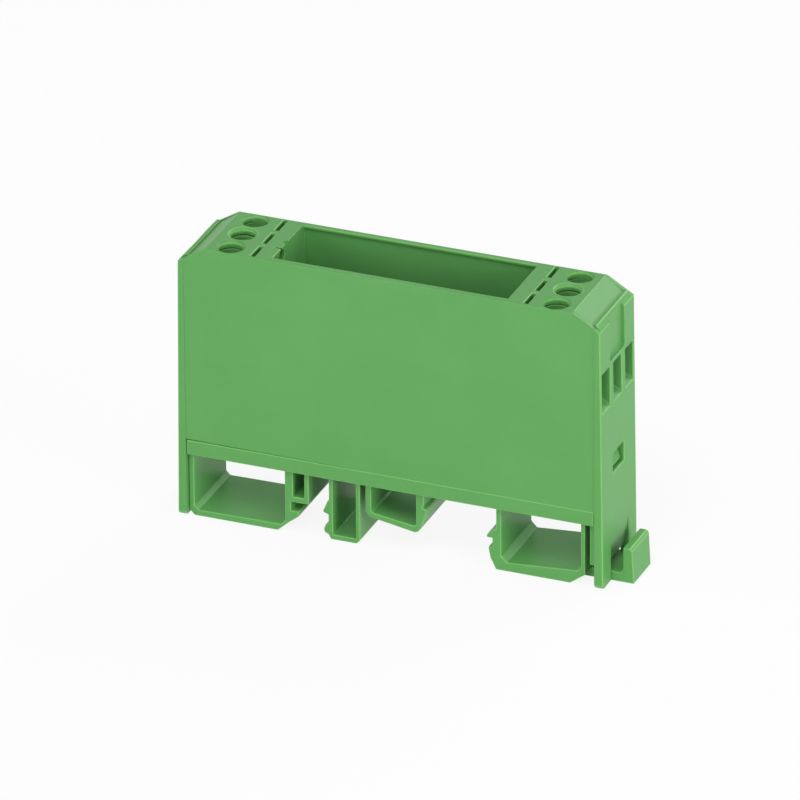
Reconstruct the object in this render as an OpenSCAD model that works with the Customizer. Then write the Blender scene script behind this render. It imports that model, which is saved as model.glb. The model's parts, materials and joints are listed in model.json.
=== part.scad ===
// Din rail enclosure: rail foot, lift-off cover and two screw terminal blocks.
// Millimetres. X along the length, Y across the module, Z up from the bench.
// The modules count heights from the top of the belt, the ledge on which the
// cover stands; in_frame() then sets the finished pieces on the bench.

/* [Cover] */
// length over the end walls at the top
cover_length = 73.0; // [70:0.5:110]
// width of the module, which holds three poles
module_width = 15.24; // [15.2:0.02:16]
// height of the side walls above the belt
cover_height = 35.07; // [33:0.01:45]
// thickness of the side walls
side_wall = 0.75; // [0.6:0.05:0.85]
// thickness of the end walls at the top
end_wall = 1.0; // [0.9:0.05:1.3]
// how far the end walls lean out at their lower ends
leg_lean = 0.55; // [0.3:0.05:0.8]
// how far the end walls stop above the foot's underside
leg_gap = 0.2; // [0.1:0.05:1]
// thickness of the top plate
top_plate = 1.2; // [1:0.1:1.6]
// length of the sloping shoulders
shoulder_x = 4.8; // [4:0.1:5.4]
// height of the sloping shoulders
shoulder_z = 2.9; // [2.4:0.1:3.2]
// diameter of the screwdriver holes
driver_hole = 4.0; // [3.4:0.1:4.4]
// solid top from the screw axis to the opening
pad_length = 7.83; // [7:0.01:12]
// width of the lip along the opening
opening_lip = 0.5; // [0.3:0.05:0.8]

/* [Base] */
// height of the belt
belt_height = 2.6; // [2.4:0.1:3]
// depth of the foot under the belt's top
foot_depth = 14.0; // [13.6:0.1:17]
// height of the low side wall above the belt's top
low_wall = 5.0; // [3:0.1:8]
// thickness of the base's walls
base_wall = 0.9; // [0.8:0.05:1.1]
// length of the tabs that carry the terminal blocks
tab_length = 6.0; // [5:0.1:7]
// length of the notches between the tabs
notch_length = 5.9; // [5:0.1:7]
// length of the tabs at the corners
corner_tab = 3.8; // [3:0.1:5]
// how far the release lip stands out from the base
lip_reach = 5.5; // [4.5:0.1:8]

/* [Rail seat] */
// width of the seat for the rail
rail_seat = 35.1; // [35:0.05:35.4]
// height of the slots for the rail's edges
rail_slot = 1.6; // [1.3:0.1:2]
// height of the jaws under the rail's edges
jaw_height = 4.0; // [3.8:0.1:5]

/* [Terminal blocks] */
// height of a block above its seat
block_height = 20.0; // [18:0.1:22]
// distance of the screw axis from the wire face
screw_to_face = 5.6; // [5.4:0.05:6.2]
// wall of the block outside the contact strips
ledge_wall = 1.25; // [1:0.05:1.5]
// stroke of a clamp cage from open to closed
cage_stroke = 2.4; // [1:0.1:2.5]
// thickness of the cage's sheet
cage_sheet = 0.38; // [0.3:0.02:0.5]
// rise of the screw's thread in one turn
thread_pitch = 0.45; // [0.4:0.05:0.5]
// length of the solder pins below the seat
pin_length = 5.0; // [3.5:0.1:6]
// diameter of the solder pins
pin_d = 0.9; // [0.7:0.05:1]

/* [Hidden] */
$fn = 48;
plastic = "#6BAA62";
pale = "#DADADA";
nickel = "#A9A39B";
tin = "#B8B8B4";
eps = 0.01;
ENDS = ["left", "right"];

// cover
hl = cover_length / 2;
hw = module_width / 2;
in_y = hw - side_wall;
ex = hl - end_wall;
ox = hl - shoulder_x;
leg_drop = foot_depth - leg_gap;
shoulder_low = cover_height - shoulder_z;
plate_low = cover_height - top_plate;
// the side walls lie back a little between the end walls
panel_depth = 0.08;
// thickness of the guides behind the wire openings
guide = 1.5;
// the slits lie between the screwdriver holes and the opening
slit_offset = 4.55;
slit_width = 0.7;
slit_length = 4.0;
partition = 0.9;

// base
end_gap = 0.1;
side_gap = 0.12;
wall_y = in_y - side_gap;
bl = ex - end_gap;
// depth of the tray under the belt's top
tray_depth = 1.4;
end_plate_x = 1.0;
tab_x = bl - corner_tab - notch_length - tab_length;
tongue_half = 3.0;
tongue_gap = 0.45;
tongue_foot = 1.3;
// how far the tongue stops under the seat
tongue_drop = 2.2;
catch_half = 2.2;
catch_low = 5.35;
catch_high = 8.1;
catch_out = 0.85;
lever_half = 3.8;
lever_top = -foot_depth + 1.9;

// rail seat
rs = rail_seat / 2;
slot_low = -foot_depth + jaw_height;
slot_high = slot_low + rail_slot;
// from the left edge of the seat to the spring leg and to the middle loop
leg_offset = 6.65;
leg_width = 5.45;
middle_offset = 13.05;
middle_width = 10.2;
// the hollows of the foot reach a little into the belt
loop_top = -belt_height + 0.4;

// terminal blocks
pole_pitch = module_width / 3;
top_gap = 0.17;
face_gap = 0.27;
block_y = in_y - 0.07;
face_x = ex - guide - face_gap;
screw_x = face_x - screw_to_face;
opening_half = screw_x - pad_length;
seat_z = plate_low - top_gap - block_height;
wire_low = 3.8;
wire_high = 10.7;
// from the wire face inwards: chamber, web, pocket of the strip, outer wall
chamber_half = 2.7;
chamber_in = screw_to_face - chamber_half;
chamber_out = screw_to_face + chamber_half;
pocket_in = chamber_out + 0.55;
pocket_out = pocket_in + 0.9;
block_depth = pocket_out + ledge_wall;
body_depth = block_depth - 1.8;
ledge_height = 11.1;
slope_low = 13.5;
// heights in the block, from its seat
head_low = block_height - 3.9;
head_high = block_height - 1.0;
chamber_top = head_low - 0.5;
cage_rest = 2.7;
cage_height = block_height - 11.4;
cage_floor = 1.2;
shank_low = 9.4;
bar_low = cage_rest + cage_stroke + cage_floor + 0.2;
bar_high = bar_low + 0.8;
// across a pole
cage_half = in_y - 0.11 - pole_pitch;
chamber_y = cage_half + 0.12;
thread_r = cage_half - cage_sheet - 0.06;
bar_half = cage_half - cage_sheet - 0.25;

// the box around everything is centred on X
shift_x = -(lip_reach + bl - (hl + leg_lean)) / 2;

// a profile drawn in X and Z, extruded from y0 to y1
module xz(y0, y1) {
    translate([0, y1, 0]) rotate([90, 0, 0]) linear_extrude(height = y1 - y0) children();
}
// a profile drawn in Y and Z, extruded from x0 to x1
module yz(x0, x1) {
    translate([x0, 0, 0]) rotate([90, 0, 90]) linear_extrude(height = x1 - x0) children();
}
module box(x, y, z) {
    translate([x[0], y[0], z[0]]) cube([x[1] - x[0], y[1] - y[0], z[1] - z[0]]);
}
module rect(x, z) {
    translate([x[0], z[0]]) square([x[1] - x[0], z[1] - z[0]]);
}
// notch open at the top, with rounded lower corners
module cup(x, z, r_left, r_right) {
    difference() {
        rect(x, z);
        corner_fill(x[0], z[0], r_left, 1);
        corner_fill(x[1], z[0], r_right, -1);
    }
}
// what a fillet leaves in a lower corner, side is 1 for a left corner
module corner_fill(x, z, r, side) {
    difference() {
        translate([min(x, x + side * r), z]) square([r, r]);
        translate([x + side * r, z + r]) circle(r);
    }
}
// what an arc takes off an upper corner, side is 1 for a right corner
module corner_cut(x, z, r, side) {
    difference() {
        translate([side > 0 ? x - r : x - 1, z - r]) square([r + 1, r + 1]);
        translate([x - side * r, z - r]) circle(r);
    }
}
module both_ends() {
    children();
    mirror([1, 0, 0]) children();
}
module both_sides() {
    children();
    mirror([0, 1, 0]) children();
}

// outline of the base's front and back walls
module wall_outline(pale_tab) {
    difference() {
        rect([-bl, bl], [-belt_height, seat_z]);
        for (x = [-bl + corner_tab, bl - corner_tab - notch_length])
            cup([x, x + notch_length], [low_wall - 0.3, seat_z + 9], 1.6, 0.9);
        cup([-tab_x, tab_x], [low_wall, seat_z + 9], 1.7, 1.0);
        for (x = [-bl + corner_tab, -tab_x, bl - corner_tab - notch_length]) corner_cut(x, seat_z, 1.0, 1);
        for (x = [-tab_x - tab_length, tab_x, bl - corner_tab]) corner_cut(x, seat_z, 1.0, -1);
        if (pale_tab) rect([tab_x - eps, tab_x + tab_length + eps], [-tray_depth, seat_z + 9]);
    }
}
module pale_outline() {
    difference() {
        rect([tab_x, tab_x + tab_length], [-tray_depth, seat_z]);
        corner_cut(tab_x + tab_length, seat_z, 1.0, 1);
        corner_cut(tab_x, seat_z, 1.0, -1);
    }
}
// raised face on the inside of a tab
module tab_pad(x) {
    inner_y = wall_y - base_wall;
    box([x + 0.8, x + 4.6], [inner_y - 0.15, inner_y + eps], [-tray_depth - eps, seat_z - 1.0]);
}

// the parts that hang under the belt, from left to right
module foot_loop_left() {
    difference() {
        polygon([[-bl, -belt_height], [-bl, -foot_depth + 0.9], [-bl + 0.9, -foot_depth],
            [-rs - 2.35, -foot_depth], [-rs - 0.35, -foot_depth + 1.8], [-rs + 1.35, -foot_depth + 3.1],
            [-rs + 1.35, slot_low], [-rs, slot_low], [-rs, -belt_height]]);
        polygon([[-bl + 0.9, loop_top], [-bl + 0.9, -foot_depth + 1.8], [-bl + 1.6, -foot_depth + 1.1],
            [-rs - 1.75, -foot_depth + 1.25], [-rs - 1.05, -foot_depth + 2.0], [-rs - 1.05, loop_top]]);
    }
}
module rail_stop() {
    difference() {
        rect([-rs - 0.2, -rs + 3.15], [slot_high, -belt_height]);
        rect([-rs + 0.4, -rs + 2.35], [slot_high + 1.0, loop_top]);
    }
}
module spring_leg() {
    width = leg_width;
    translate([-rs + leg_offset, 0]) difference() {
        polygon([[0, -belt_height], [0, slot_high + 1.5], [-0.3, slot_high + 1.2], [-1.0, slot_high - 0.5],
            [-1.0, slot_high - 0.8], [-0.1, slot_high - 1.1], [-0.1, -foot_depth + 3.0],
            [-0.55, -foot_depth + 2.7], [-0.9, -foot_depth + 1.8], [-0.8, -foot_depth + 1.2],
            [-0.1, -foot_depth + 0.9], [0.3, -foot_depth + 0.1], [width - 0.65, -foot_depth + 0.1],
            [width, -foot_depth + 0.8], [width, -belt_height]]);
        rect([0.7, width - 0.75], [-foot_depth + 1.0, loop_top]);
    }
}
module middle_loop() {
    width = middle_width;
    translate([-rs + middle_offset, 0]) difference() {
        polygon([[0, -belt_height], [0, slot_high + 0.7], [0.8, slot_high - 0.2],
            [width - 1.6, slot_high - 1.55], [width - 1.0, slot_high - 1.3], [width - 0.5, slot_high - 0.6],
            [width + 0.4, slot_high + 2.3], [width + 0.4, slot_high + 2.8], [width - 0.2, slot_high + 3.2],
            [width, slot_high + 3.8], [width, -belt_height]]);
        polygon([[1.0, loop_top], [1.0, slot_high + 1.0], [1.3, slot_high + 0.7],
            [width - 1.8, slot_high - 0.35], [width - 1.4, slot_high - 0.1], [width - 1.4, loop_top]]);
    }
}
module latch_loop() {
    difference() {
        polygon([[rs + 0.65, -belt_height], [rs + 0.65, slot_high + 1.8], [rs - 0.95, slot_high + 0.5],
            [rs - 0.95, slot_high], [rs, slot_high], [rs, slot_low], [rs - 0.65, slot_low],
            [rs - 0.65, slot_low - 0.5], [rs - 0.35, -foot_depth + 2.0], [rs + 0.65, -foot_depth],
            [bl - 4.4, -foot_depth], [bl - 1.8, lever_top], [bl - 1.8, -belt_height]]);
        polygon([[rs + 1.55, loop_top], [rs + 1.55, -foot_depth + 2.6], [rs + 2.55, -foot_depth + 1.6],
            [bl - 3.2, -foot_depth + 2.5], [bl - 2.55, -foot_depth + 3.1], [bl - 2.55, loop_top]]);
    }
}
// release lever with its upturned lip
module lever() {
    lip_x = bl + lip_reach;
    low = -foot_depth + 0.2;
    rect([bl - 6.4, lip_x - 1], [low, lever_top]);
    polygon([[lip_x - 1.9, low], [lip_x, low], [lip_x - 0.3, -foot_depth + 6.0],
        [lip_x - 0.7, -foot_depth + 6.4], [lip_x - 1.9, -foot_depth + 6.4]]);
    polygon([[lip_x - 2.5, lever_top], [lip_x - 1.9, lever_top + 0.6], [lip_x - 1.9, lever_top - eps]]);
}

// end wall of the base, cut out around the latch tongue
module end_plate(low) {
    yz(bl - end_plate_x, bl) difference() {
        rect([-wall_y, wall_y], [low, seat_z]);
        rect([-tongue_half - tongue_gap, tongue_half + tongue_gap], [tongue_foot, seat_z + 9]);
    }
}

module base_body() {
    difference() {
        union() {
            box([-bl, bl], [-hw, hw], [-belt_height, 0]);
            xz(-wall_y, -wall_y + base_wall) wall_outline(false);
            xz(wall_y - base_wall, wall_y) wall_outline(true);
            end_plate(-foot_depth + 3.9);
            mirror([1, 0, 0]) end_plate(-belt_height);
            xz(-wall_y, wall_y) {
                foot_loop_left();
                rail_stop();
                spring_leg();
                middle_loop();
                latch_loop();
            }
            xz(-lever_half, lever_half) lever();
        }
        // tray between the walls, and the seat of the pale tab
        box([-bl + end_plate_x, bl - end_plate_x], [-wall_y + base_wall, wall_y - base_wall],
            [-tray_depth, 1]);
        box([tab_x, tab_x + tab_length], [wall_y - base_wall, wall_y], [-tray_depth, 1]);
    }
    tab_pad(-tab_x - tab_length);
    mirror([0, 1, 0]) for (x = [-tab_x - tab_length, tab_x]) tab_pad(x);
}

module tab_pale_body() {
    xz(wall_y - base_wall, wall_y) pale_outline();
    intersection() {
        tab_pad(tab_x);
        box([tab_x, tab_x + tab_length], [0, wall_y], [-tray_depth, seat_z]);
    }
}

module latch_body() {
    box([bl - end_plate_x, bl], [-tongue_half, tongue_half], [tongue_foot, seat_z - tongue_drop]);
    xz(-catch_half, catch_half) polygon([[bl - 0.2, catch_low], [bl + catch_out, catch_low],
        [bl + catch_out, catch_low + 0.25], [bl, catch_high], [bl - 0.2, catch_high]]);
}

// height of the shoulder's slope over x, and the end wall's outer face over z
function slope_z(x) = cover_height - shoulder_z * (x - ox) / shoulder_x;
function end_x(z) = hl + leg_lean * (shoulder_low - z) / (shoulder_low + leg_drop);

module side_outline() {
    polygon([[-hl, 0], [hl, 0], [hl, shoulder_low], [ox, cover_height],
        [-ox, cover_height], [-hl, shoulder_low]]);
}
// funnel for a wire, with a sill that rises inwards
module wire_window(y) {
    half = in_y - pole_pitch;
    low = seat_z + wire_low - 0.6;
    high = seat_z + wire_high;
    xz(y - half, y + half) polygon([[hl + 1, low], [ex - guide - 0.1, low + 2.5],
        [ex - guide - 0.1, high], [hl + 1, high]]);
}
// shallow field for a label, rounded at its upper corners
module label_field() {
    half = 3.2;
    low = seat_z + wire_high + 0.8;
    high = cover_height - 2.1;
    yz(hl - 0.5, hl + 1) difference() {
        rect([-half, half], [low, high]);
        corner_cut(half, high, 0.8, 1);
        corner_cut(-half, high, 0.8, -1);
    }
}
// opening in the lower end of the right end wall, where the lever passes
module lever_passage() {
    half = lever_half + 0.2;
    top = lever_top + 0.3;
    yz(ex - 1, hl + 2) {
        rect([-half, half], [-leg_drop - 1, top]);
        rect([-half + 1, half - 1], [top - eps, top + 1]);
        for (s = [-1, 1]) translate([s * (half - 1), top]) circle(1);
    }
    // hollow that leads a screwdriver to the lever
    ramp_top = -foot_depth + 8.2;
    xz(-half, half) polygon([[end_x(ramp_top), ramp_top], [hl + 2, ramp_top], [hl + 2, top + 0.3],
        [hl + leg_lean - 0.85, top + 0.3]]);
}
module cover_end() {
    rim_x = ex - 0.5;
    rim_z = slope_z(rim_x) + 0.1;
    difference() {
        union() {
            // end wall and leg
            xz(-hw, hw) polygon([[ex, slope_z(ex)], [ex, -leg_drop], [end_x(-leg_drop), -leg_drop],
                [hl, shoulder_low]]);
            // rim above the shoulder
            xz(-in_y, in_y) polygon([[rim_x, shoulder_low - 1], [rim_x, rim_z], [rim_x + 0.6, rim_z],
                [hl, shoulder_low], [hl, shoulder_low - 1]]);
            // guides behind the wire openings
            box([ex - guide, ex + 0.1], [-in_y, in_y], [seat_z + wire_low - 1.1, shoulder_low - 1.1]);
            // shoulder
            xz(-in_y, in_y) polygon([[ox - 0.1, plate_low], [ox - 0.1, cover_height], [ox, cover_height],
                [ex + 0.1, slope_z(ex) - 0.3], [ex + 0.1, shoulder_low - 1.2],
                [ex - guide, shoulder_low - 1.2]]);
            // partition beside the opening
            box([opening_half, opening_half + partition], [-in_y, in_y], [seat_z + 6.3, plate_low + 0.1]);
        }
        for (i = [-1:1]) wire_window(i * pole_pitch);
        label_field();
        // window of the latch
        box([ex - 1, hl + 2], [-catch_half - 0.3, catch_half + 0.3], [catch_low - 0.35, catch_high + 0.3]);
        // passages in the partition
        box([opening_half - 1, opening_half + partition + 1], [-3.0, 3.0], [seat_z + 9.3, plate_low - 4.5]);
        // blunted corners of the leg
        both_sides() yz(ex - 1, hl + 2) polygon([[hw - 0.5, -leg_drop - eps], [hw + eps, -leg_drop + 0.5],
            [hw + eps, -leg_drop - eps]]);
    }
}
// drop-shaped eye in the left end of the opening, its tip reaches the top
module opening_eye() {
    r = 1.15;
    y = -2.6;
    z = cover_height - 1.5;
    mirror([1, 0, 0]) yz(opening_half - 1, opening_half + 1.1) {
        translate([y, z]) circle(r);
        polygon([[y - 0.6 * r, z + 0.6 * r], [y + 0.6 * r, z + 0.6 * r], [y - 0.15, z + 1.6]]);
    }
}
module cover_body() {
    difference() {
        union() {
            both_sides() xz(in_y, hw) side_outline();
            box([-ox, ox], [-in_y - 0.1, in_y + 0.1], [plate_low, cover_height]);
            cover_end();
            mirror([1, 0, 0]) cover_end();
        }
        lever_passage();
        // opening, with a thin lip along its long sides
        lip_y = in_y - opening_lip;
        box([-opening_half, opening_half], [-lip_y, lip_y], [plate_low - 1, cover_height + 1]);
        box([-opening_half, opening_half], [-in_y, in_y], [plate_low - 1, cover_height - 0.6]);
        // eye and half-round notch in its left end
        opening_eye();
        translate([-opening_half, -0.35, plate_low - 1]) cylinder(h = top_plate + 2, r = 0.6);
        both_ends() for (i = [-1:1]) {
            translate([screw_x, i * pole_pitch, plate_low - 1]) cylinder(h = top_plate + 2, d = driver_hole);
            translate([screw_x, i * pole_pitch, cover_height - 0.4])
                cylinder(h = 0.4 + eps, d1 = driver_hole, d2 = driver_hole + 0.8);
            slit(screw_x - slit_offset, i * pole_pitch);
        }
        both_sides() {
            // faces of the side walls, set back between the end walls
            box([-ex, ex], [hw - panel_depth, hw + 1], [-1, cover_height + 1]);
            top_rounding();
        }
    }
}
module slit(x, y) {
    box([x - slit_width / 2, x + slit_width / 2], [y - slit_length / 2, y + slit_length / 2],
        [plate_low - 1, cover_height + 1]);
}
// rounded long edge of the top
module top_rounding() {
    r = 0.35;
    edge_y = hw - panel_depth;
    yz(-hl - 2, hl + 2) difference() {
        rect([edge_y - r, hw + 1], [cover_height - r, cover_height + 1]);
        translate([edge_y - r, cover_height - r]) circle(r);
    }
}

// terminal block: X runs inwards from the wire face, Z up from the seat
module block_outline() {
    polygon([[0, 0], [block_depth, 0], [block_depth, ledge_height - 0.7], [block_depth - 0.7, ledge_height],
        [body_depth, ledge_height], [body_depth, block_height], [chamber_in + 0.05, block_height],
        [chamber_in + 0.05, block_height - 1.9], [0, slope_low]]);
}
// clamp chamber and strip pocket of a pole, from y0 to y1
module pole_hollow(y) {
    box([chamber_in, chamber_out], y, [-1, chamber_top]);
    box([pocket_in, pocket_out], y, [-1, bar_high + 0.15]);
    box([chamber_in, pocket_out], y, [-1, bar_low - 1.2]);
}
module block_body() {
    // the outer poles are open to the sides
    open_y = block_y + 1;
    difference() {
        xz(-block_y, block_y) block_outline();
        box([chamber_in, pocket_out], [-open_y, open_y], [-1, 0.6]);
        pole_hollow([-chamber_y, chamber_y]);
        both_sides() pole_hollow([pole_pitch - chamber_y, open_y]);
        for (i = [-1:1]) translate([0, i * pole_pitch, 0]) {
            // passage of the contact bar
            bar_room = bar_half + 0.15;
            box([chamber_out - eps, pocket_in + eps], [-bar_room, bar_room],
                [bar_low - 0.1, bar_high + 0.15]);
            // bore of the screw's head, and hole for its shank
            translate([screw_to_face, 0, head_low]) cylinder(h = block_height, d = 4.0);
            translate([screw_to_face, 0, chamber_top - 1]) cylinder(h = 5, r = thread_r + 0.16);
            // wire entry
            box([-1, chamber_in + eps], [-1.5, 1.5], [wire_low + 0.2, wire_high]);
            // test slot with a round upper end
            yz(pocket_out - eps, block_depth + 1) {
                rect([-0.9, 0.9], [5.2, 9.5]);
                translate([0, 9.5]) circle(0.9);
            }
        }
    }
}
module screw_body() {
    r = cage_half;
    turns = floor((head_low - shank_low - 0.8) / thread_pitch);
    start = head_low - 0.2;
    translate([screw_to_face, 0, 0]) difference() {
        union() {
            // head with a turned groove
            rotate_extrude() polygon([[0, head_low + 0.02], [r - 0.18, head_low + 0.02], [r, head_low + 0.2],
                [r, head_low + 1.2], [r - 0.23, head_low + 1.35], [r - 0.23, head_low + 1.65],
                [r, head_low + 1.8], [r, head_high - 0.2], [r - 0.2, head_high], [0, head_high]]);
            // shank, with one ridge for each turn of the thread
            rotate_extrude() polygon(concat([[0, head_low + 0.03], [thread_r - 0.24, head_low + 0.03]],
                [for (k = [0:turns]) each [[thread_r - 0.22, start - thread_pitch * k],
                    [thread_r, start - 0.18 - thread_pitch * k],
                    [thread_r, start - 0.27 - thread_pitch * k]]],
                [[thread_r - 0.34, shank_low], [0, shank_low]]));
        }
        box([-2, 2], [-0.3, 0.3], [head_high - 1.4, head_high + 1]);
    }
}
// folded cage with a jaw under its floor and a seam under its top
module cage_body() {
    low_x = screw_to_face - 2.5;
    high_x = screw_to_face + 2.5;
    inside = cage_half - cage_sheet;
    difference() {
        union() {
            box([low_x, high_x], [-cage_half, cage_half], [0, cage_height]);
            box([low_x + 0.5, high_x], [-cage_half + 0.18, cage_half - 0.18], [-0.9, 0.1]);
        }
        box([low_x - 1, high_x + 1], [-inside, inside], [cage_floor, cage_height - 1.2]);
        translate([screw_to_face, 0, cage_height - 2]) cylinder(h = 3, r = thread_r + 0.04);
        both_sides() box([low_x - 1, high_x + 1], [cage_half - 0.2, cage_half + 1],
            [cage_height - 0.65, cage_height - 0.4]);
    }
}
module pins_body() {
    strip_in = pocket_in + 0.1;
    strip_out = pocket_out - 0.1;
    pin_z = pin_d / 2;
    bend_r = 1.0;
    quarter = bend_r + pin_d;
    // contact bar through the cage, and strip behind the chamber
    box([screw_to_face - 2.3, strip_out], [-bar_half, bar_half], [bar_low, bar_high]);
    box([strip_in, strip_out], [-0.7, 0.7], [-0.05, bar_high]);
    // wire pin, bent down under the screw
    translate([strip_in + 0.15, 0, pin_z]) rotate([0, -90, 0])
        cylinder(h = strip_in + 0.15 - screw_to_face - bend_r, d = pin_d);
    translate([screw_to_face + bend_r, 0, pin_z - bend_r]) rotate([90, 0, 0]) intersection() {
        rotate_extrude() translate([bend_r, 0]) circle(d = pin_d);
        box([-quarter, 0], [0, quarter], [-pin_d, pin_d]);
    }
    translate([screw_to_face, 0, -pin_length]) {
        translate([0, 0, 0.3]) cylinder(h = pin_length - 0.3 + pin_z - bend_r, d = pin_d);
        cylinder(h = 0.3, d1 = pin_d / 2, d2 = pin_d);
    }
}

// sets a block's piece on the tabs of one end, the left end is mirrored
module at_end(end, up = 0) {
    mirror([end == "left" ? 1 : 0, 0, 0]) translate([face_x, 0, seat_z + up]) mirror([1, 0, 0]) children();
}
module at_pole(end, pole, up = 0) {
    at_end(end, up) translate([0, (pole - 2) * pole_pitch, 0]) children();
}
module in_frame() {
    translate([shift_x, 0, foot_depth]) children();
}

module base() color(plastic) in_frame() base_body();
module latch_left() color(plastic) in_frame() mirror([1, 0, 0]) latch_body();
module latch_right() color(plastic) in_frame() latch_body();
module tab_pale() color(pale) in_frame() tab_pale_body();
module cover() color(plastic) in_frame() cover_body();
module block(end) color(plastic) in_frame() at_end(end) block_body();
module screw(end, pole) color(nickel) in_frame() at_pole(end, pole) screw_body();
// the left clamps stand closed, the right ones open
function cage_z(end) = cage_rest + (end == "left" ? cage_stroke : 0);
module cage(end, pole) color(nickel) in_frame() at_pole(end, pole, cage_z(end)) cage_body();
module pins(end, pole) color(tin) in_frame() at_pole(end, pole) pins_body();

base();
latch_left();
latch_right();
tab_pale();
cover();
for (end = ENDS) {
    block(end);
    for (pole = [1:3]) {
        screw(end, pole);
        cage(end, pole);
        pins(end, pole);
    }
}
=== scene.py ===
"""A din rail enclosure: rail foot, lift-off hood and two screw terminal blocks.

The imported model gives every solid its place. The script rounds the moulded and
stamped edges, cuts the screws' threads, and makes the finishes, the light and the camera.
"""

import json
import math

import bmesh
import bpy
import numpy as np
from mathutils import Matrix, Vector
from mathutils.bvhtree import BVHTree
from mathutils.geometry import intersect_ray_tri


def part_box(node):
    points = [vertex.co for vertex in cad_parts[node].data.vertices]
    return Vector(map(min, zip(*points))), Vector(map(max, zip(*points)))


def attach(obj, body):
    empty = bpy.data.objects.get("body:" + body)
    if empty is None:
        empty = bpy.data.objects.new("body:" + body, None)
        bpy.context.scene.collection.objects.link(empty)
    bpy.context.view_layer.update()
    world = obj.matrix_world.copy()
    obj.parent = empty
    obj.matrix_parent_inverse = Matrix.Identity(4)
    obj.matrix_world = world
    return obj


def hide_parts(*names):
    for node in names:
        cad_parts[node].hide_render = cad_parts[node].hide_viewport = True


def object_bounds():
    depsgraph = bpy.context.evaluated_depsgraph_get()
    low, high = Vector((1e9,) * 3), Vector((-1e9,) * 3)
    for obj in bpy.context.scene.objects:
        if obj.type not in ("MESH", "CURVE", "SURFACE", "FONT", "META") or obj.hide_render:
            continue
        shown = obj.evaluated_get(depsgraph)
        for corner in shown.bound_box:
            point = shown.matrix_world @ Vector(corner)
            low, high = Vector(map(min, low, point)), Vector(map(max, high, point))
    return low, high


MM = 0.001
ENDS = ("left", "right")
POLES = (1, 2, 3)

# Camera: the angle, tilt and reach that the photograph's perspective gives
AZIMUTH = math.radians(22.2)
ELEVATION = math.radians(26.87)
ROLL = math.radians(-0.45)
REACH = 2.0215
AIM = Vector((0.98, -9.67, 29.24)) * MM
LENS = 567.0
SENSOR = 36.0
FARTHEST_SEEN = 20.0

# Widths of rounded edges
HOOD_EDGE = 0.20 * MM
FOOT_EDGE = 0.16 * MM
CAGE_EDGE = 0.06 * MM
PIN_EDGE = 0.08 * MM
SCREW_EDGE = 0.08 * MM
# Green mouldings, each with the width of its edges
MOULDINGS = {
    "base": FOOT_EDGE,
    "cover": HOOD_EDGE,
    "block_left": FOOT_EDGE,
    "block_right": FOOT_EDGE,
    "latch_left": FOOT_EDGE,
    "latch_right": FOOT_EDGE,
}
# An edge with room for less than this stays plain
LEAST_EDGE = 0.05 * MM
FACES_OF_ROUNDING = 2
# Faces that meet at less than this stay plain
SHARP = math.radians(32)
# A rounding bends by less than this from face to face, so what bends more was left sharp
LEFT_SHARP = math.radians(50)
# Edges that bend by less than this at a corner share one width
RUN_ON = math.radians(40)
# Share of the free width and length that a rounding may take
BETWEEN_TWO = 0.45
BEFORE_ONE = 0.8
LENGTH_USED = 0.92
# Places along an edge at which the free width is measured
SOUNDINGS = (0.01, 0.5, 0.99)
# Roundings that take too much of a length shrink until they take this share of it,
# in each round by no less than the first factor and no more than the second
SHRUNK_TO = 0.9
SHRINK_FACTORS = (0.5, 0.97)
SHRINK_ROUNDS = 60
# Where faces still cross, the roundings nearer than this get narrower: the first is in
# widths of the rounding itself, and the second, if none is so near, in full widths
NEAR = 1.6
FARTHER = 4
NARROWER = 0.6
TRIES = 8

# CAD points closer than this are one, and triangles that bend by less are one flat face
SAME_POINT = 0.5e-6
FLAT = math.radians(0.6)
# Lengths, areas and sines below these count as nothing
NO_LENGTH = 1e-9
NO_LENGTH_ALONG = 1e-7
NO_LENGTH_ACROSS = 1e-8
NO_AREA = 1e-12
NEARLY_STRAIGHT = 0.02
BOX_MARGIN = 0.001 * MM

# Thread of the clamping screws, below the head
HEAD_HEIGHT = 2.88 * MM
SHANK_IN_HEAD = 0.05 * MM
PITCH = 0.45 * MM
THREAD_ROOT = 1.02 * MM
THREAD_CREST = 1.24 * MM
TIP_CHAMFER = 0.25 * MM
# How far the chamfer goes in for each length that it goes up
TIP_TAPER = 0.7
# Depth of the thread's foot in the core
FOOT_IN_CORE = 0.02 * MM
# Steepness of the thread's flanks, and of its run-out within the first and last turn
FLANK = 2.6
RUN_OUT = 1.6
STEPS_PER_TURN = 32.0
POINTS_ACROSS_THREAD = 9
SIDES_OF_CORE = 40

# Light at a plain level: even surroundings and five soft lamps (place, watts)
AMBIENT = 0.25
LAMPS = {
    "front": ((0.15, -1.0, 0.30), 2.0),
    "right": ((1.0, -0.30, 0.25), 5.6),
    "over": ((0.05, -0.55, 0.90), 3.9),
    "left": ((-0.9, -0.45, 0.45), 2.2),
    "back": ((0.30, 0.85, 0.60), 3.4),
}
LAMP_SIZE = 0.6
LIT_POINT = Vector((0, 0, 0.03))
# The floor reaches this far to each side, and this share of it is seen as plain white
FLOOR_REACH = 2.5
FLOOR_WHITE = 0.88

# Colours, each with its deeper tone
GREEN = ((0.124, 0.372, 0.106), (0.106, 0.334, 0.092))
# A lighter green painted on the outer roundings: a painted highlight along the edges
GREEN_PAINTED_HIGHLIGHT = ((0.185, 0.500, 0.135), (0.160, 0.450, 0.118))
PALE = ((0.87, 0.87, 0.865), (0.82, 0.82, 0.82))
# A lighter pale tone painted on the outer roundings: a painted highlight along the edges
PALE_PAINTED_HIGHLIGHT = ((0.92, 0.92, 0.915), (0.88, 0.88, 0.88))
NICKEL = ((0.66, 0.63, 0.58), (0.48, 0.455, 0.42))
SCREW_NICKEL = ((0.60, 0.58, 0.54), (0.44, 0.42, 0.39))
TIN = ((0.72, 0.72, 0.70), (0.56, 0.56, 0.55))
PAPER = ((0.96, 0.96, 0.96), (0.93, 0.93, 0.93))
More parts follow.
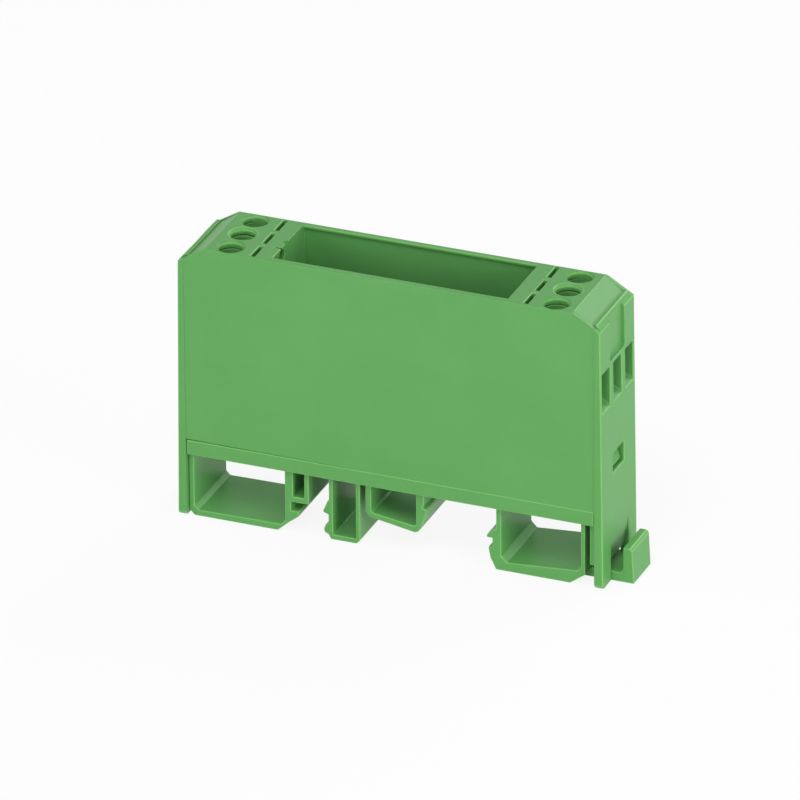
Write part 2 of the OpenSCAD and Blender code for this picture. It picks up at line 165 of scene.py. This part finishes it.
# The even white of the floor and surroundings
WHITE = (1.0, 1.0, 1.0)
FACE_ROUGHNESS = 0.38
EDGE_ROUGHNESS = 0.30
# A noise is drawn out along the axes whose number is small
EVEN = (1.0, 1.0, 1.0)
ALONG_X = (0.25, 1.0, 1.0)
ALONG_Y = (1.0, 0.2, 1.0)
ALONG_Z = (1.0, 1.0, 0.1)
ROUND_THE_SCREW = (0.2, 0.2, 1.0)
# Scratches are where the noise is higher than this, with edges this steep
SCRATCH_ABOVE = 0.62
SCRATCH_STEEPNESS = 9.0


class Socket:
    """A shader or geometry value that takes part in plain arithmetic."""

    maths = "ShaderNodeMath"
    middle = 0.5

    def __init__(self, tree, output):
        self.tree = tree
        self.output = output

    def worked(self, operation, *terms):
        node = self.tree.nodes.new(self.maths)
        node.operation = operation
        for slot, term in zip(node.inputs, terms):
            if isinstance(term, Socket):
                self.tree.links.new(term.output, slot)
            else:
                slot.default_value = term
        return Socket(self.tree, node.outputs[0])

    def __add__(self, other):
        return self.worked("ADD", self, other)

    __radd__ = __add__

    def __mul__(self, other):
        return self.worked("MULTIPLY", self, other)

    def __sub__(self, other):
        return self.worked("SUBTRACT", self, other)

    def __rsub__(self, other):
        return self.worked("SUBTRACT", other, self)

    def __truediv__(self, other):
        return self.worked("DIVIDE", self, other)

    def least(self, other):
        return self.worked("MINIMUM", self, other)

    def most(self, other):
        return self.worked("MAXIMUM", self, other)

    def absolute(self):
        return self.worked("ABSOLUTE", self)

    def cosine(self):
        return self.worked("COSINE", self)

    def sine(self):
        return self.worked("SINE", self)

    def within(self):
        """The value held between 0 and 1."""
        return self.most(0.0).least(1.0)

    def swing(self, share):
        """How far a value between 0 and 1 is from the middle, times a share."""
        return (self - self.middle) * share


class Nodes:
    """A node tree and the one way in which nodes are put in it."""

    def __init__(self, tree):
        self.tree = tree

    def feed(self, slot, value):
        if isinstance(value, Socket):
            self.tree.links.new(value.output, slot)
        elif isinstance(value, bpy.types.NodeSocket):
            self.tree.links.new(value, slot)
        else:
            slot.default_value = value

    def node(self, kind, settings=None, values=None):
        made = self.tree.nodes.new(kind)
        for name, value in (settings or {}).items():
            setattr(made, name, value)
        for name, value in (values or {}).items():
            self.feed(made.inputs[name], value)
        return made

    def value(self, node, output=0):
        return Socket(self.tree, node.outputs[output])


class Finish(Nodes):
    """A procedural material on Object coordinates."""

    def __init__(self, name):
        self.material = bpy.data.materials.new(name)
        self.material.use_nodes = True
        super().__init__(self.material.node_tree)
        self.shader = self.tree.nodes["Principled BSDF"]
        self.place = self.node("ShaderNodeTexCoord").outputs["Object"]

    def noise(self, size, detail=2.0, stretch=EVEN, roughness=0.5):
        """Noise whose lumps are about size metres across, from 0 to 1."""
        scaled = self.node("ShaderNodeMapping", None, {"Vector": self.place, "Scale": stretch})
        values = {
            "Vector": scaled.outputs[0],
            "Scale": 1.0 / size,
            "Detail": detail,
            "Roughness": roughness,
        }
        return self.value(self.node("ShaderNodeTexNoise", None, values), "Fac")

    def toned(self, shade, tones):
        """The first of two tones where shade is 1, and the deeper one where it is 0."""
        light, deep = (colour(tone) for tone in tones)
        values = {0: shade, 6: deep, 7: light}
        return self.node("ShaderNodeMix", {"data_type": "RGBA"}, values).outputs[2]

    def bump(self, height, depth, strength, under=None):
        values = {"Height": height, "Distance": depth, "Strength": strength}
        if under is not None:
            values["Normal"] = under
        return self.node("ShaderNodeBump", None, values).outputs[0]

    def finished(self, values):
        for name, value in values.items():
            self.feed(self.shader.inputs[name], value)
        return self.material


def colour(tone):
    return (*tone, 1.0)


def moulded_plastic(name, tones, roughness):
    """Satin moulded polyamide: faint cloudiness, spark-eroded grain and slow flow waves."""
    finish = Finish(name)
    cloud = finish.noise(size=11 * MM, detail=3.0)
    streak = finish.noise(size=3.2 * MM, stretch=ALONG_X)
    grain = finish.noise(size=0.13 * MM, roughness=0.6)
    shade = Socket.middle + cloud.swing(1.1) + streak.swing(0.35) + grain.swing(0.5)
    skin = finish.bump(grain, depth=0.010 * MM, strength=0.5)
    waves = finish.bump(streak, depth=0.020 * MM, strength=0.45, under=skin)
    return finish.finished({
        "Base Color": finish.toned(shade.within(), tones),
        "Roughness": roughness + grain.swing(0.18) + cloud.swing(0.10),
        "Specular IOR Level": 0.18,
        "Normal": waves,
    })


def plated_metal(name, tones, roughness, drawn):
    """Barrel-plated metal: drawn lines along it, small dull patches and fine scratches."""
    finish = Finish(name)
    patch = finish.noise(size=0.9 * MM, detail=3.0)
    lines = finish.noise(size=0.09 * MM, stretch=drawn)
    scratch = finish.noise(size=0.35 * MM, detail=4.0, stretch=ALONG_Y, roughness=0.7)
    marks = ((scratch - SCRATCH_ABOVE) * SCRATCH_STEEPNESS).within()
    shade = Socket.middle + patch.swing(1.3) + lines.swing(0.5) - marks * 0.25
    return finish.finished({
        "Base Color": finish.toned(shade.within(), tones),
        "Metallic": 0.96,
        "Roughness": roughness + patch.swing(0.22) + lines.swing(0.14) + marks * 0.10,
        "Normal": finish.bump(lines, depth=0.005 * MM, strength=0.6),
    })


def in_scene(name, data):
    """A new object of the scene that shows the data."""
    made = bpy.data.objects.new(name, data)
    bpy.context.scene.collection.objects.link(made)
    return made


def evaluated(piece):
    """The mesh that the piece's modifiers make."""
    depsgraph = bpy.context.evaluated_depsgraph_get()
    return bpy.data.meshes.new_from_object(piece.evaluated_get(depsgraph))


def settled(piece):
    """The piece, with the mesh that its modifiers make as its own."""
    finished = evaluated(piece)
    piece.modifiers.clear()
    piece.data = finished
    return piece


def whole_faces(source):
    """A copy of a CAD node's mesh with its triangles merged into whole flat faces."""
    shape = bmesh.new()
    shape.from_mesh(source.data)
    bmesh.ops.remove_doubles(shape, verts=shape.verts, dist=SAME_POINT)
    bmesh.ops.dissolve_limit(shape, angle_limit=FLAT, verts=shape.verts, edges=shape.edges)
    return shape


def free_reach(face, sharp):
    """For each edge of a face, how far a rounding can reach across the face."""
    points = np.array([corner.vert.co for corner in face.loops])
    count = len(points)
    run = np.roll(points, -1, axis=0) - points
    length = np.linalg.norm(run, axis=1)
    run /= np.maximum(length, NO_LENGTH)[:, None]
    inward = np.cross(np.array(face.normal), run)
    is_sharp = np.array([sharp[corner.edge.index] for corner in face.loops])
    reach = np.full(count, np.inf)
    own = np.flatnonzero(is_sharp)
    if len(own) == 0:
        return reach

    def seen_from(start):
        offset = points[None, :, :] - start[:, None, :]
        aside = np.einsum("ijk,ik->ij", offset, run[own])
        across = np.einsum("ijk,ik->ij", offset, inward[own])
        return aside, across

    # corners of the outline in the strip that the edge sweeps
    aside, across = seen_from(points[own])
    beside = (aside > NO_LENGTH_ALONG) & (aside < length[own][:, None] - NO_LENGTH_ALONG)
    beside &= across > NO_LENGTH_ACROSS
    share = np.where(is_sharp | np.roll(is_sharp, 1), BETWEEN_TWO, BEFORE_ONE)
    reach[own] = np.where(beside, across * share, np.inf).min(axis=1)
    # sides of the outline straight across from the edge
    others = np.ones((len(own), count), bool)
    for shift in (-1, 0, 1):
        others[np.arange(len(own)), (own + shift) % count] = False
    share = np.where(is_sharp, BETWEEN_TWO, BEFORE_ONE)
    for part in SOUNDINGS:
        aside, across = seen_from(points[own] + run[own] * (length[own] * part)[:, None])
        next_aside = np.roll(aside, -1, axis=1)
        next_across = np.roll(across, -1, axis=1)
        with np.errstate(divide="ignore", invalid="ignore"):
            hit = across + (next_across - across) * (aside / (aside - next_aside))
        good = (aside * next_aside < 0) & others & (hit > NO_LENGTH_ACROSS)
        reach[own] = np.minimum(reach[own], np.where(good, hit * share, np.inf).min(axis=1))
    return reach


def runs_of_edges(shape, sharp):
    """A number for each edge, the same for sharp edges that run on in one line."""
    number = list(range(len(shape.edges)))

    def first_of(edge):
        while number[edge] != edge:
            edge = number[edge]
        return edge

    def direction(edge, point):
        return edge.other_vert(point).co - point.co

    for point in shape.verts:
        meeting = [edge for edge in point.link_edges if sharp[edge.index]]
        for place, one in enumerate(meeting):
            for other in meeting[place + 1:]:
                opening = direction(one, point).angle(direction(other, point), 0.0)
                if opening > math.pi - RUN_ON:
                    number[first_of(one.index)] = first_of(other.index)
    return np.array([first_of(edge) for edge in number])


def inner_angle(loop):
    """The angle inside the face at a corner."""
    return loop.calc_angle() if loop.is_convex else 2 * math.pi - loop.calc_angle()


def is_sharp_edge(edge):
    return len(edge.link_faces) == 2 and edge.calc_face_angle(0.0) > SHARP


def rounding_widths(shape, width, caps):
    """The width at which each sharp edge can be rounded so that no two roundings meet."""
    sharp = np.array([is_sharp_edge(edge) for edge in shape.edges])
    widths = np.where(sharp, np.minimum(width, caps), 0.0)
    corners = []
    for face in shape.faces:
        loops = list(face.loops)
        for loop, reach in zip(loops, free_reach(face, sharp)):
            widths[loop.edge.index] = min(widths[loop.edge.index], reach)
        turn = [inner_angle(loop) for loop in loops]
        for place, loop in enumerate(loops):
            after = (place + 1) % len(loops)
            edges = (loops[place - 1].edge.index, loop.edge.index, loops[after].edge.index)
            corners.append((*edges, loop.edge.calc_length(), turn[place], turn[after]))
    corners = np.array(corners)
    before, own, after = corners[:, :3].astype(int).T
    length = corners[:, 3]
    sine = np.sin(corners[:, 4:])
    cosine = np.cos(corners[:, 4:])
    straight = np.abs(sine) < NEARLY_STRAIGHT
    sine[straight] = 1.0
    run = runs_of_edges(shape, sharp)
    plain = caps < LEAST_EDGE

    def evened(widths):
        least = np.full(len(widths), np.inf)
        np.minimum.at(least, run[~plain], widths[~plain])
        widths = np.where(sharp & ~plain, least[run], 0.0)
        return np.where(widths < LEAST_EDGE, 0.0, widths)

    widths = evened(widths)
    for _ in range(SHRINK_ROUNDS):
        beside = np.stack((widths[before], widths[after]), axis=1)
        taken = np.where(straight, 0.0, (beside + widths[own][:, None] * cosine) / sine)
        taken = np.maximum(taken, 0.0).sum(axis=1)
        over = taken > length * LENGTH_USED
        if not over.any():
            break
        shrunk = np.clip(SHRUNK_TO * length[over] / taken[over], *SHRINK_FACTORS)
        factor = np.ones(len(widths))
        for edges in (before, own, after):
            np.minimum.at(factor, edges[over], shrunk)
        widths = evened(widths * factor)
    return widths


def points_turned_over(mesh):
    """The corners of a mesh's triangles that face against their own polygon."""
    points = []
    mesh.calc_loop_triangles()
    for triangle in mesh.loop_triangles:
        whole = mesh.polygons[triangle.polygon_index]
        if triangle.area > NO_AREA and triangle.normal.dot(whole.normal) < 0:
            points.extend(mesh.vertices[corner].co.copy() for corner in triangle.vertices)
    return points


def points_crossing(mesh):
    """The points at which faces of a mesh pass through one another."""
    points = []
    shape = bmesh.new()
    shape.from_mesh(mesh)
    bmesh.ops.triangulate(shape, faces=shape.faces)
    tree = BVHTree.FromBMesh(shape)
    shape.faces.ensure_lookup_table()
    for first, second in tree.overlap(tree):
        one, other = shape.faces[first], shape.faces[second]
        if set(one.verts) & set(other.verts):
            continue
        corners = [point.co for point in other.verts]
        for edge in one.edges:
            start, end = (point.co for point in edge.verts)
            run = end - start
            hit = intersect_ray_tri(*corners, run, start, True)
            if hit and 0 <= (hit - start).dot(run) <= run.length_squared:
                points.append(hit)
    shape.free()
    return points


def points_outside(mesh, low, high):
    """The points of a mesh that stand out of the box from low to high."""
    places = np.array([point.co for point in mesh.vertices])
    past = np.maximum(low - places, places - high).max(axis=1)
    return list(places[past > BOX_MARGIN])


def distance_to_edges(points, starts, runs):
    """The distance from each edge to the nearest of the points."""
    offset = points[:, None, :] - starts[None, :, :]
    squared = np.maximum((runs ** 2).sum(axis=1), NO_LENGTH ** 2)
    part = np.clip(np.einsum("ijk,jk->ij", offset, runs) / squared, 0, 1)
    nearest = part[:, :, None] * runs[None, :, :]
    return np.linalg.norm(offset - nearest, axis=2).min(axis=0)


def mark_bends(mesh):
    """Marks the edges left sharp, and gives rounded inner corners the plain finish again, so
    the painted edge highlight stays on the outer roundings.
    """
    shape = bmesh.new()
    shape.from_mesh(mesh)
    for edge, side in zip(shape.edges, mesh.edges):
        if edge.calc_face_angle(0.0) > LEFT_SHARP:
            side.use_edge_sharp = True
    for face, polygon in zip(shape.faces, mesh.polygons):
        sides = [edge for edge in face.edges if len(edge.link_faces) == 2]
        bend = sum(edge.calc_face_angle_signed(0.0) * edge.calc_length() for edge in sides)
        if face.material_index and bend <= 0:
            polygon.material_index = 0
    shape.free()


def add_rounding(piece, width, finish):
    """Puts a bevel by weights on the piece, with the finish of that number on its roundings,
    which is the painted edge highlight where the piece has one.
    """
    bevel = piece.modifiers.new("rounding", "BEVEL")
    bevel.width = width
    bevel.segments = FACES_OF_ROUNDING
    bevel.limit_method = "WEIGHT"
    bevel.use_clamp_overlap = False
    bevel.material = finish


def without_crossings(piece, shape, width):
    """The piece's mesh with its roundings narrowed, until no faces cross or stand out."""
    starts = np.array([edge.verts[0].co for edge in shape.edges])
    runs = np.array([edge.verts[1].co for edge in shape.edges]) - starts
    corners = np.array([point.co for point in shape.verts])
    low, high = corners.min(axis=0), corners.max(axis=0)
    weight = shape.edges.layers.float.new("bevel_weight_edge")
    caps = np.full(len(shape.edges), np.inf)
    for _ in range(TRIES):
        widths = rounding_widths(shape, width, caps)
        for edge in shape.edges:
            edge[weight] = float(widths[edge.index] / width)
            edge.smooth = bool(widths[edge.index] > 0) or edge.calc_face_angle(0.0) < SHARP
        shape.to_mesh(piece.data)
        finished = evaluated(piece)
        faults = points_turned_over(finished) + points_crossing(finished)
        faults += points_outside(finished, low, high)
        if not faults:
            break
        distance = distance_to_edges(np.array(faults), starts, runs)
        near = (widths > 0) & (distance < widths * NEAR)
        if not near.any():
            near = (widths > 0) & (distance < width * FARTHER)
        caps[near] = widths[near] * NARROWER
    return finished


def rounded(name, shape, width, finishes):
    """An object with the shape's sharp edges rounded; the last finish is that of its edges,
    which on the green and pale mouldings is a painted highlight.
    """
    mesh = bpy.data.meshes.new(name)
    for finish in finishes:
        mesh.materials.append(finish)
    piece = in_scene(name, mesh)
    add_rounding(piece, width, len(finishes) - 1)
    for elements in (shape.verts, shape.edges, shape.faces):
        elements.index_update()
    for face in shape.faces:
        face.smooth = True
        face.material_index = 0
    finished = without_crossings(piece, shape, width)
    shape.free()
    mark_bends(finished)
    piece.modifiers.clear()
    piece.data = finished
    piece.modifiers.new("even_shading", "WEIGHTED_NORMAL").keep_sharp = True
    return settled(piece)


def stands_for(frame, piece, node):
    """The piece rides on the node's body and is shown in the node's place, which is hidden."""
    bodies = frame["record"]["behaviour"]["bodies"]
    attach(piece, next(body for body, members in bodies.items() if node in members))
    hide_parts(node)


def rounded_copy(frame, node, kind, width, finishes):
    """The CAD node with its edges rounded, shown in its place."""
    shape = whole_faces(frame["nodes"][node])
    stands_for(frame, rounded(f"{node}_{kind}", shape, width, finishes), node)


def thread_tree():
    """Geometry nodes that add a right-handed screw thread and its core to the input."""
    tree = bpy.data.node_groups.new("screw_thread", "GeometryNodeTree")
    nodes = Nodes(tree)
    inputs = {
        "Geometry": "NodeSocketGeometry",
        "Tip": "NodeSocketVector",
        "Length": "NodeSocketFloat",
        "Pitch": "NodeSocketFloat",
        "Root Radius": "NodeSocketFloat",
        "Crest Radius": "NodeSocketFloat",
        "Tip Chamfer": "NodeSocketFloat",
        "Finish": "NodeSocketMaterial",
    }
    for name, kind in inputs.items():
        tree.interface.new_socket(name, in_out="INPUT", socket_type=kind)
    tree.interface.new_socket("Geometry", in_out="OUTPUT", socket_type="NodeSocketGeometry")
    given = nodes.node("NodeGroupInput")
    length = nodes.value(given, "Length")
    pitch = nodes.value(given, "Pitch")
    root = nodes.value(given, "Root Radius")
    crest = nodes.value(given, "Crest Radius")
    chamfer = nodes.value(given, "Tip Chamfer")

    def vector(x, y, z):
        return nodes.node("ShaderNodeCombineXYZ", None, {"X": x, "Y": y, "Z": z}).outputs[0]

    def moved(geometry, offset):
        values = {"Geometry": geometry, "Translation": offset}
        return nodes.node("GeometryNodeTransform", None, values).outputs[0]

    def joined(*parts):
        join = nodes.node("GeometryNodeJoinGeometry")
        for part in parts:
            tree.links.new(part, join.inputs[0])
        return join.outputs[0]

    # the ridge is one pitch wide, so it winds one turn less than the length has room for
    turns = (length - chamfer) / pitch - 1.0
    # a sheet with the turns along X and the profile along Y, wound round the axis
    steps = nodes.node("FunctionNodeFloatToInt", None, {"Float": turns * STEPS_PER_TURN})
    sheet = nodes.node("GeometryNodeMeshGrid", None, {
        "Size X": 1.0,
        "Size Y": 1.0,
        "Vertices X": steps.outputs[0],
        "Vertices Y": POINTS_ACROSS_THREAD,
    })
    position = nodes.node("GeometryNodeInputPosition").outputs[0]
    spot = nodes.node("ShaderNodeSeparateXYZ", None, {"Vector": position})
    # the sheet is centred, so half its size makes both run from 0 to 1
    along = nodes.value(spot, "X") + 0.5
    profile = nodes.value(spot, "Y") + 0.5
    turned = along * turns
    flank = (1.0 - (profile - 0.5).absolute() * FLANK).within()
    run_out = (turned * RUN_OUT).least((turns - turned) * RUN_OUT).within()
    radius = root - FOOT_IN_CORE + (crest - root + FOOT_IN_CORE) * flank * run_out
    angle = turned * (2 * math.pi)
    height = chamfer + (turned + profile) * pitch
    ridge = nodes.node("GeometryNodeSetPosition", None, {
        "Geometry": sheet.outputs["Mesh"],
        "Position": vector(radius * angle.cosine(), radius * angle.sine(), height),
    }).outputs[0]
    core = nodes.node("GeometryNodeMeshCylinder", None, {
        "Vertices": SIDES_OF_CORE,
        "Radius": root,
        "Depth": length - chamfer,
    }).outputs["Mesh"]
    core = moved(core, vector(0.0, 0.0, (length + chamfer) * 0.5))
    point = nodes.node("GeometryNodeMeshCone", None, {
        "Vertices": SIDES_OF_CORE,
        "Radius Top": root,
        "Radius Bottom": root - chamfer * TIP_TAPER,
        "Depth": chamfer,
    }).outputs["Mesh"]
    shank = moved(joined(ridge, core, point), given.outputs["Tip"])
    smooth = nodes.node("GeometryNodeSetShadeSmooth", None, {"Geometry": shank}).outputs[0]
    whole = joined(smooth, given.outputs["Geometry"])
    real = nodes.node("GeometryNodeRealizeInstances", None, {"Geometry": whole})
    dressed = nodes.node("GeometryNodeSetMaterial", None, {
        "Geometry": real.outputs[0],
        "Material": given.outputs["Finish"],
    })
    nodes.node("NodeGroupOutput", None, {"Geometry": dressed.outputs[0]})
    return tree


def threaded_screw(frame, node, tree, metal):
    """The screw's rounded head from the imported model, on a shank with a true thread."""
    low, high = (Vector(corner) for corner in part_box(node))
    neck = high.z - HEAD_HEIGHT
    shape = whole_faces(frame["nodes"][node])
    cut = bmesh.ops.bisect_plane(
        shape, geom=shape.verts[:] + shape.edges[:] + shape.faces[:],
        plane_co=(0, 0, neck), plane_no=(0, 0, 1), clear_inner=True,
    )
    rim = [element for element in cut["geom_cut"] if isinstance(element, bmesh.types.BMEdge)]
    bmesh.ops.contextual_create(shape, geom=rim)
    screw = rounded(node + "_threaded", shape, SCREW_EDGE, (metal,))
    sizes = {
        "Tip": Vector(((low.x + high.x) / 2, (low.y + high.y) / 2, low.z)),
        "Length": neck + SHANK_IN_HEAD - low.z,
        "Pitch": PITCH,
        "Root Radius": THREAD_ROOT,
        "Crest Radius": THREAD_CREST,
        "Tip Chamfer": TIP_CHAMFER,
        "Finish": metal,
    }
    thread = screw.modifiers.new("thread", "NODES")
    thread.node_group = tree
    for item in tree.interface.items_tree:
        if item.in_out == "INPUT" and item.name in sizes:
            thread[item.identifier] = sizes[item.name]
    return settled(screw)


def seen_directly(nodes):
    """1 for what the camera sees itself or in gloss and glass, otherwise 0."""
    ray = nodes.node("ShaderNodeLightPath")
    seen = nodes.value(ray, "Is Camera Ray") + nodes.value(ray, "Is Glossy Ray")
    return (seen + nodes.value(ray, "Is Transmission Ray")).within()


def white_floor(height):
    """A white floor that keeps the soft shadow."""
    mesh = bpy.data.meshes.new("floor")
    square = ((-1, -1), (1, -1), (1, 1), (-1, 1))
    corners = [(x * FLOOR_REACH, y * FLOOR_REACH, height) for x, y in square]
    mesh.from_pydata(corners, [], [(0, 1, 2, 3)])
    floor = in_scene("floor", mesh)
    paper = Finish("white_paper")
    fibre = paper.noise(size=2 * MM)
    paper.finished({"Base Color": paper.toned(fibre, PAPER), "Roughness": 0.8})
    white = paper.node("ShaderNodeEmission", None, {"Color": colour(WHITE), "Strength": 1.0})
    shown = paper.node("ShaderNodeMixShader", None, {
        0: seen_directly(paper) * FLOOR_WHITE,
        1: paper.shader.outputs[0],
        2: white.outputs[0],
    })
    paper.feed(paper.tree.nodes["Material Output"].inputs["Surface"], shown.outputs[0])
    mesh.materials.append(paper.material)


def white_surroundings():
    """A weak, even light from all sides, which the camera itself sees as white."""
    world = bpy.data.worlds.new("studio")
    bpy.context.scene.world = world
    world.use_nodes = True
    sky = Nodes(world.node_tree)
    backdrop = world.node_tree.nodes["Background"]
    sky.feed(backdrop.inputs["Color"], colour(WHITE))
    sky.feed(backdrop.inputs["Strength"], AMBIENT + seen_directly(sky) * (1.0 - AMBIENT))


def lamps():
    """The large, even lamps round the part."""
    for name, (place, watts) in LAMPS.items():
        light = bpy.data.lights.new(name, "AREA")
        light.shape = "DISK"
        light.size = LAMP_SIZE
        light.energy = watts
        holder = in_scene(name, light)
        holder.location = place
        towards = LIT_POINT - Vector(place)
        holder.rotation_euler = towards.to_track_quat("-Z", "Y").to_euler()


def camera():
    """The photograph's camera."""
    data = bpy.data.cameras.new("camera")
    data.lens = LENS
    data.sensor_width = SENSOR
    data.clip_end = FARTHEST_SEEN
    holder = in_scene("camera", data)
    flat = math.cos(ELEVATION)
    back = Vector((math.sin(AZIMUTH) * flat, -math.cos(AZIMUTH) * flat, math.sin(ELEVATION)))
    level = Vector((math.cos(AZIMUTH), math.sin(AZIMUTH), 0.0))
    upright = back.cross(level)
    right = math.cos(ROLL) * level + math.sin(ROLL) * upright
    up = math.cos(ROLL) * upright - math.sin(ROLL) * level
    turn = Matrix((right, up, back)).transposed().to_4x4()
    holder.matrix_world = Matrix.Translation(AIM + back * REACH) @ turn
    bpy.context.scene.camera = holder


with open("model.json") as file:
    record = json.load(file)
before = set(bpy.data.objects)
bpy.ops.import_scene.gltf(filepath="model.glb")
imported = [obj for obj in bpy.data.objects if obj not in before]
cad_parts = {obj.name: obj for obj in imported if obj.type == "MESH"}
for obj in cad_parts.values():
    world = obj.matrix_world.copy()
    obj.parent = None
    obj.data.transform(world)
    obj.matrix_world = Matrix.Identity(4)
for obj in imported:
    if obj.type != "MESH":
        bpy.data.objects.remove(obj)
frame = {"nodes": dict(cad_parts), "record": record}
cad_box = [list(corner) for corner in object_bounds()]
camera()
white_floor(cad_box[0][2])
white_surroundings()
lamps()

green = moulded_plastic("green_polyamide", GREEN, FACE_ROUGHNESS)
# The outer roundings get a lighter, glossier green: a painted highlight along the edges
green_painted_highlight = moulded_plastic("green_painted_highlight", GREEN_PAINTED_HIGHLIGHT, EDGE_ROUGHNESS)
pale = moulded_plastic("pale_polyamide", PALE, FACE_ROUGHNESS)
# The outer roundings of the pale tab get a lighter tone: a painted highlight along the edges
pale_painted_highlight = moulded_plastic("pale_painted_highlight", PALE_PAINTED_HIGHLIGHT, EDGE_ROUGHNESS)
nickel = plated_metal("nickel_plate", NICKEL, roughness=0.32, drawn=ALONG_Z)
screw_nickel = plated_metal("screw_nickel", SCREW_NICKEL, roughness=0.34, drawn=ROUND_THE_SCREW)
tin = plated_metal("tin_plate", TIN, roughness=0.26, drawn=ALONG_Z)

for node, width in MOULDINGS.items():
    rounded_copy(frame, node, "moulding", width, (green, green_painted_highlight))
rounded_copy(frame, "tab_pale", "moulding", FOOT_EDGE, (pale, pale_painted_highlight))
thread = thread_tree()
for end in ENDS:
    for pole in POLES:
        cage, pins, screw = (f"{kind}_{end}_{pole}" for kind in ("cage", "pins", "screw"))
        rounded_copy(frame, cage, "stamping", CAGE_EDGE, (nickel,))
        rounded_copy(frame, pins, "stamping", PIN_EDGE, (tin,))
        piece = threaded_screw(frame, screw, thread, screw_nickel)
        stands_for(frame, piece, screw)

bpy.context.scene.view_settings.view_transform = "Standard"
